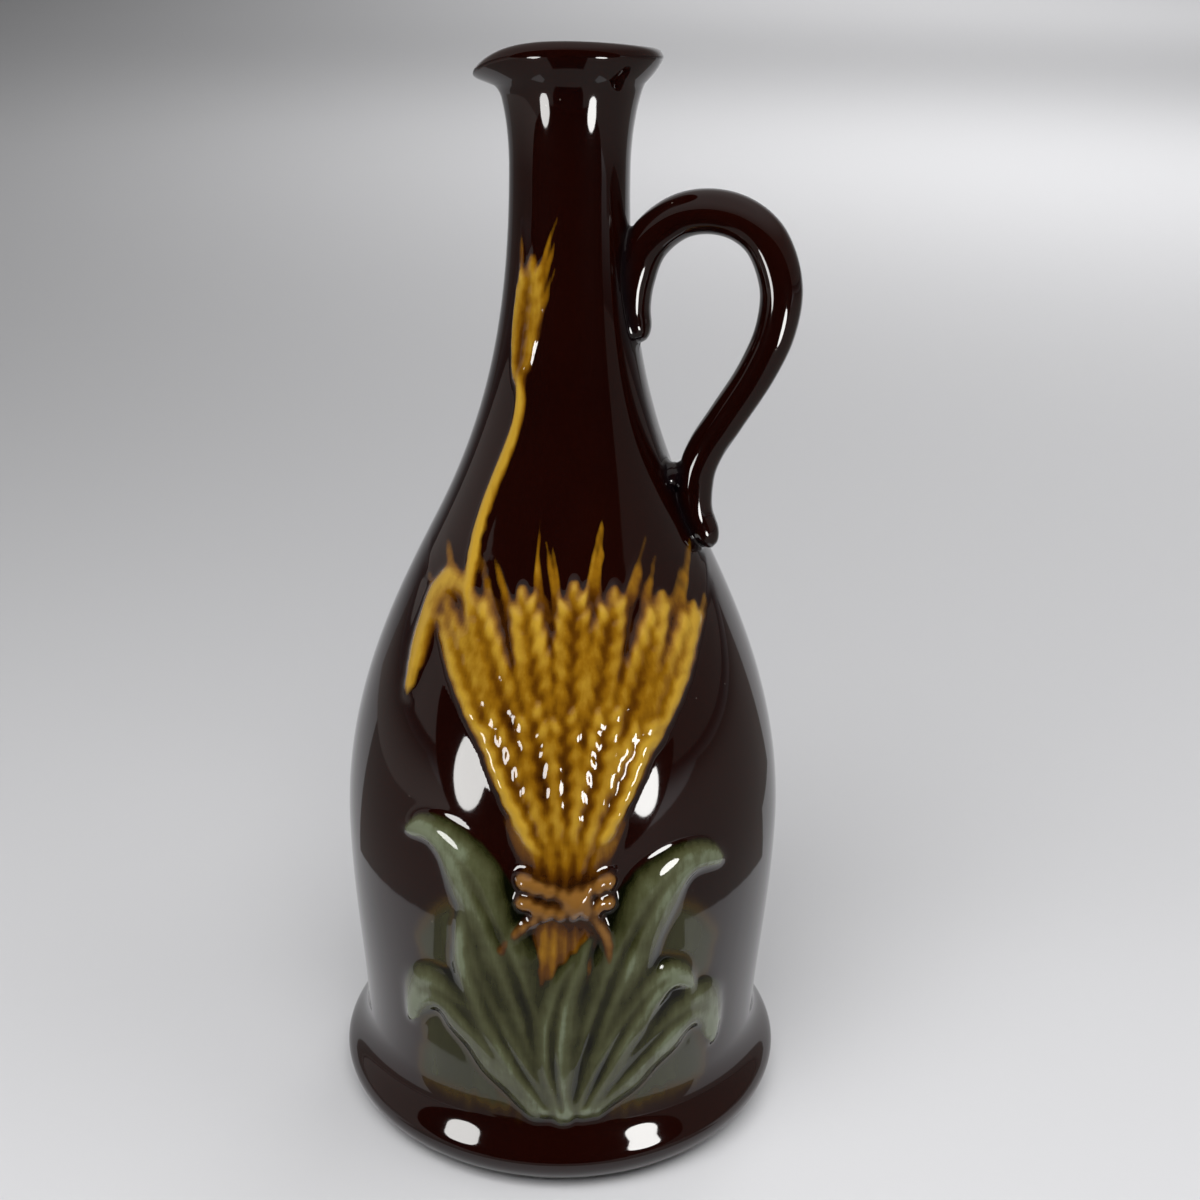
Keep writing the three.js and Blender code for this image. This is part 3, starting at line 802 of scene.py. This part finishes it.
def glaze_material():
    material = bpy.data.materials.new("brown_glaze")
    material.use_nodes = True
    tree = material.node_tree
    shader = tree.nodes["Principled BSDF"]
    where = node(tree, "ShaderNodeTexCoord").outputs["Object"]
    cloud = noise(tree, where, 22, 4)
    fine = noise(tree, where, 260, 3)
    brown = ramp(tree, cloud, [(0.3, (0.0060, 0.0007, 0.0003)), (0.7, (0.0098, 0.0013, 0.0005))])
    ridge = maths(tree, "MULTIPLY_ADD", attribute(tree, "ridge"), 0.5, 0.5)
    mottle = maths(tree, "MULTIPLY_ADD", noise(tree, where, 120, 4, 0.6), 0.5, -0.25)
    tone = maths(tree, "ADD", ridge, mottle, clamp=True)
    patches = maths(tree, "MULTIPLY_ADD", noise(tree, where, 42, 3, 0.6), 0.9, -0.45)
    brushed = maths(tree, "MULTIPLY_ADD", noise(tree, where, 520, 3, 0.6, (1.0, 1.0, 0.16)), 0.34, -0.17)
    golden = maths(tree, "ADD", maths(tree, "ADD", tone, patches), brushed, clamp=True)
    gold = ramp(tree, golden, [
        (0.08, (0.030, 0.008, 0.0006)),
        (0.34, (0.100, 0.034, 0.0014)),
        (0.58, (0.235, 0.105, 0.0040)),
        (0.92, (0.460, 0.270, 0.0260)),
    ])
    leafy = maths(tree, "ADD", tone, maths(tree, "MULTIPLY", patches, 0.55))
    leafy = maths(tree, "ADD", leafy, brushed, clamp=True)
    green = ramp(tree, leafy, [
        (0.14, (0.0022, 0.0026, 0.0005)),
        (0.38, (0.0200, 0.0205, 0.0055)),
        (0.60, (0.0470, 0.0480, 0.0185)),
        (0.80, (0.0760, 0.0810, 0.0370)),
        (0.97, (0.1500, 0.1720, 0.1050)),
    ])
    streaks = noise(tree, where, 90, 3, 0.6, (1.0, 1.0, 0.07))
    ground = ramp(tree, streaks, [(0.3, (0.020, 0.020, 0.0065)), (0.7, (0.040, 0.041, 0.0150))])
    amber = ramp(tree, attribute(tree, "ground"), [
        (0.45, (0.070, 0.040, 0.003)),
        (0.97, (0.026, 0.025, 0.008)),
    ])
    ground = mix(tree, maths(tree, "LESS_THAN", attribute(tree, "ground"), 0.96), ground, amber)
    rust = ramp(tree, tone, [
        (0.15, (0.0120, 0.0035, 0.0008)),
        (0.50, (0.0640, 0.0225, 0.0032)),
        (0.90, (0.2100, 0.0950, 0.0190)),
    ])
    colour = mix(tree, attribute(tree, "ground"), brown, ground)
    colour = mix(tree, painted(tree, "green"), colour, green)
    colour = mix(tree, painted(tree, "gold"), colour, gold)
    colour = mix(tree, painted(tree, "rust"), colour, rust)
    cells = node(tree, "ShaderNodeTexVoronoi")
    cells.inputs["Scale"].default_value = 190
    tree.links.new(where, cells.inputs["Vector"])
    speck = maths(tree, "LESS_THAN", cells.outputs["Distance"], 0.035)
    speck = maths(tree, "MULTIPLY", speck, maths(tree, "LESS_THAN", cells.outputs["Color"], 0.42))
    colour = mix(tree, maths(tree, "MULTIPLY", speck, 0.5), colour, (0.22, 0.19, 0.16))
    pool = maths(tree, "MULTIPLY", attribute(tree, "pool"), 0.8, clamp=True)
    colour = mix(tree, pool, colour, (0.0025, 0.0022, 0.0030))
    tree.links.new(colour, shader.inputs["Base Color"])
    shader.inputs["Roughness"].default_value = 0.05
    shader.inputs["IOR"].default_value = 1.52
    bump = node(tree, "ShaderNodeBump")
    bump.inputs["Strength"].default_value = 0.05
    bump.inputs["Distance"].default_value = 0.0006
    tree.links.new(maths(tree, "ADD", cloud, maths(tree, "MULTIPLY", fine, 0.12)), bump.inputs["Height"])
    tree.links.new(bump.outputs["Normal"], shader.inputs["Normal"])
    return material


# The jug as one piece

wall_verts, wall_faces, wall_masks = build_wall()
jug = mesh_object("jug_glazed", wall_verts, wall_faces)
handle = mesh_object("handle_strap", *build_handle())
web = mesh_object("handle_web", *build_web())
for piece in (jug, handle, web):
    close_mesh(piece)
for name, values in wall_masks.items():
    layer = jug.data.attributes.new(name, "FLOAT", "POINT")
    layer.data.foreach_set("value", values.astype(np.float32))
join_handle(jug, [handle, web])
jug.data.shade_smooth()
jug.data.materials.clear()
jug.data.materials.append(glaze_material())
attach(jug, "root")
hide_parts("jug")

# The floor and the light

def plain(name, colour):
    """A matt material of one colour, for the stage."""
    material = bpy.data.materials.new(name)
    material.use_nodes = True
    shader = material.node_tree.nodes["Principled BSDF"]
    shader.inputs["Base Color"].default_value = (*colour, 1)
    shader.inputs["Roughness"].default_value = 0.9
    return material


FLOOR_CORNERS = [(-4000, -3000, 0), (4000, -3000, 0), (4000, 5000, 0), (-4000, 5000, 0)]

floor = mesh_object("floor", FLOOR_CORNERS, [(0, 1, 2, 3)])
floor.data.materials.append(plain("floor", (0.66, 0.66, 0.674)))
floor.data.materials[0].node_tree.nodes["Principled BSDF"].inputs["Specular IOR Level"].default_value = 0

# The dark opening of a light tent round the front of the jug. Turns go from the front to the handle.
OPENING_RADIUS = 380
OPENING_TURN = math.radians(8)
OPENING_HALF_TURN = math.radians(68)
OPENING_MIDDLE = 195
OPENING_HALF_HEIGHT = 225

# The apron and skirt are dim sheets that paint shade on the floor round the jug, seen only in the
# glaze's reflections; the floor itself stays evenly pale.
# Cards on the floor in front of the jug: name, first and last turn, inner radius, height, shade
FLOOR_CARDS = [
    ("tent_edge", -16, 36, 165, 2.0, "dark"),
    ("tent_apron", -45, 71, 80, 1.0, "dim"),
    ("tent_skirt", -105, 131, 150, 0.8, "dim"),
]

# These dim sheets paint shade on the floor beside the jug, seen only in the glaze's reflections.
# Cards on the floor beside the jug: name, side, how far off they begin and end, the slope behind which
# the floor shows bright, as forward over across, and the shade
SIDE_CARDS = [
    ("floor_shade_left", -1, 190, 430, 0.53, "dim"),
    ("floor_shade_right", 1, 190, 1500, 0.9, "dim"),
    ("floor_half_shade_far_left", -1, 430, 1500, 0.9, "half_dim"),
]
SIDE_CARD_HEIGHT = 1.5

# The dim and half-dim shades are painted shade for the reflected floor; the dark one is the tent's dark
# opening and edge.
SHADES = {"dark": (0.004, 0.004, 0.005), "dim": (0.21, 0.195, 0.185), "half_dim": (0.42, 0.39, 0.37)}


def tent_opening():
    """An oval of a cylinder round the front of the jug."""
    rings, sides = 8, 64
    places = [(OPENING_TURN, OPENING_MIDDLE)]
    for ring in range(1, rings + 1):
        for k in range(sides):
            angle = 2 * math.pi * k / sides
            places.append((
                OPENING_TURN + OPENING_HALF_TURN * ring / rings * math.cos(angle),
                OPENING_MIDDLE + OPENING_HALF_HEIGHT * ring / rings * math.sin(angle),
            ))
    faces = [(0, 1 + k, 1 + (k + 1) % sides) for k in range(sides)]
    for ring in range(rings - 1):
        start = 1 + ring * sides
        for k in range(sides):
            a, b = start + k, start + (k + 1) % sides
            faces.append((a, a + sides, b + sides, b))
    verts = [(OPENING_RADIUS * math.sin(t), -OPENING_RADIUS * math.cos(t), h) for t, h in places]
    return mesh_object("tent_opening", verts, faces)


def floor_card(name, first, last, inner, height):
    steps = 24
    turns = np.radians(np.linspace(first, last, steps + 1))
    edges = [(r * math.sin(t), -r * math.cos(t), height) for t in turns for r in (inner, OPENING_RADIUS)]
    return mesh_object(name, edges, [(2 * k, 2 * k + 1, 2 * k + 3, 2 * k + 2) for k in range(steps)])


def side_card(name, way, inner, outer, slope):
    ahead = np.array([-math.sin(CAMERA_TURN), math.cos(CAMERA_TURN)])
    across = np.array([math.cos(CAMERA_TURN), math.sin(CAMERA_TURN)]) * way
    front = -OPENING_RADIUS
    ends = ((inner, front), (outer, front), (outer, slope * outer), (inner, slope * inner))
    corners = [across * x + ahead * y for x, y in ends]
    return mesh_object(name, [(x, y, SIDE_CARD_HEIGHT) for x, y in corners], [(0, 1, 2, 3)])


def only_reflected(obj):
    """Makes an object of the stage that only the glaze sees."""
    obj.visible_camera = False
    obj.visible_diffuse = False
    obj.visible_shadow = False
    obj.visible_transmission = False


shades = {name: plain(name, colour) for name, colour in SHADES.items()}
cards = [(tent_opening(), "dark")]
cards += [(floor_card(*card[:-1]), card[-1]) for card in FLOOR_CARDS]
cards += [(side_card(*card[:-1]), card[-1]) for card in SIDE_CARDS]
for card, shade in cards:
    card.data.materials.append(shades[shade])
    only_reflected(card)


def light(name, spot, size, power):
    """A broad soft light that shines straight down."""
    data = bpy.data.lights.new(name, "AREA")
    data.shape = "RECTANGLE"
    data.size, data.size_y = size
    data.energy = power
    obj = bpy.data.objects.new(name, data)
    obj.location = spot
    obj.visible_camera = False
    obj.visible_glossy = False
    bpy.context.scene.collection.objects.link(obj)


light("light_front", (0.0, -0.65, 0.85), (1.0, 0.7), 13.5)
light("light_back", (0.2, 1.5, 0.8), (0.8, 0.8), 7.2)
light("light_back_left", (-0.4, 1.5, 0.8), (0.7, 0.7), 1.8)
light("light_right", (0.8, 0.0, 0.8), (0.7, 0.7), 3.8)
light("light_middle", (0.3, 0.7, 0.8), (0.7, 0.7), 1.4)
light("light_far", (0.0, 3.4, 1.2), (1.9, 1.6), 21)


def lamp(name, spot, size, strength, colour):
    """A small bright panel that only the glaze reflects. It faces the jug."""
    x, y, z = spot
    away = math.hypot(x, y)
    side = np.array([-y, x, 0]) / away * size / 2
    up = np.array([0, 0, size / 2])
    turns = np.linspace(0, 2 * np.pi, 32, endpoint=False)
    corners = [np.array(spot) + math.cos(t) * side + math.sin(t) * up for t in turns]
    panel = mesh_object(name, corners, [tuple(range(32))])
    material = bpy.data.materials.new(name)
    material.use_nodes = True
    shader = material.node_tree.nodes["Principled BSDF"]
    shader.inputs["Base Color"].default_value = (0, 0, 0, 1)
    shader.inputs["Emission Color"].default_value = (*colour, 1)
    shader.inputs["Emission Strength"].default_value = strength
    panel.data.materials.append(material)
    only_reflected(panel)


# Where the two lamps stand follows from their reflections on the neck and the foot
LAMP_SIZE = 72
LAMP_COLOUR = (1.0, 0.99, 0.97)
lamp("lamp_left", (-127.6, -210.4, 106.1), LAMP_SIZE, 15, LAMP_COLOUR)
lamp("lamp_right", (207.9, -159.1, 104.3), LAMP_SIZE, 21, LAMP_COLOUR)


def studio():
    """A pale tent: bright behind the jug, dimmer beside it and in front, where reflections come from."""
    world = bpy.data.worlds.new("studio")
    bpy.context.scene.world = world
    world.use_nodes = True
    tree = world.node_tree
    shade = tree.nodes["Background"]
    way = node(tree, "ShaderNodeTexCoord").outputs["Generated"]
    apart = node(tree, "ShaderNodeSeparateXYZ")
    tree.links.new(way, apart.inputs["Vector"])
    across = maths(tree, "MULTIPLY_ADD", apart.outputs["X"], -0.5 * math.sin(CAMERA_TURN), 0.5)
    ahead = 0.5 * math.cos(CAMERA_TURN)
    behind = maths(tree, "MULTIPLY_ADD", apart.outputs["Y"], ahead, across, clamp=True)
    tent = ramp(tree, behind, [
        (0.30, (0.17, 0.150, 0.140)),
        (0.80, (0.19, 0.175, 0.165)),
        (0.89, (0.36, 0.35, 0.345)),
        (0.94, (0.66, 0.66, 0.67)),
    ])
    left = maths(tree, "MULTIPLY_ADD", apart.outputs["X"], -1.6, 0.2, clamp=True)
    tent = mix(tree, left, tent, (0.36, 0.335, 0.32), "LIGHTEN")
    overhead = maths(tree, "MULTIPLY_ADD", apart.outputs["Z"], 2.5, -1.1, clamp=True)
    tent = mix(tree, overhead, tent, (0.46, 0.45, 0.44))
    diffuse = node(tree, "ShaderNodeLightPath").outputs["Is Diffuse Ray"]
    tree.links.new(mix(tree, diffuse, tent, (0.04, 0.04, 0.04)), shade.inputs["Color"])
    shade.inputs["Strength"].default_value = 1.0


studio()

# The camera, from the photograph's perspective

CAMERA_SPOT = (8.5, -402.8, 309.0)
CAMERA_PITCH = 0.4081
CAMERA_ROLL = 0.019
CAMERA_LENS = 53.8

right = Vector((1, 0, 0))
up = Vector((0, math.sin(CAMERA_PITCH), math.cos(CAMERA_PITCH)))
forward = Vector((0, math.cos(CAMERA_PITCH), -math.sin(CAMERA_PITCH)))
side = right * math.cos(CAMERA_ROLL) + up * math.sin(CAMERA_ROLL)
top = up * math.cos(CAMERA_ROLL) - right * math.sin(CAMERA_ROLL)
basis = Matrix((side, top, -forward)).transposed().to_4x4()
basis.translation = Vector(CAMERA_SPOT) * MM
camera_data = bpy.data.cameras.new("camera")
camera_data.lens = CAMERA_LENS
camera_data.sensor_width = 36
camera_data.clip_start = 0.01
camera = bpy.data.objects.new("camera", camera_data)
bpy.context.scene.collection.objects.link(camera)
camera.matrix_world = Matrix.Rotation(CAMERA_TURN, 4, "Z") @ basis
bpy.context.scene.camera = camera

view = bpy.context.scene.view_settings
view.view_transform = "Standard"
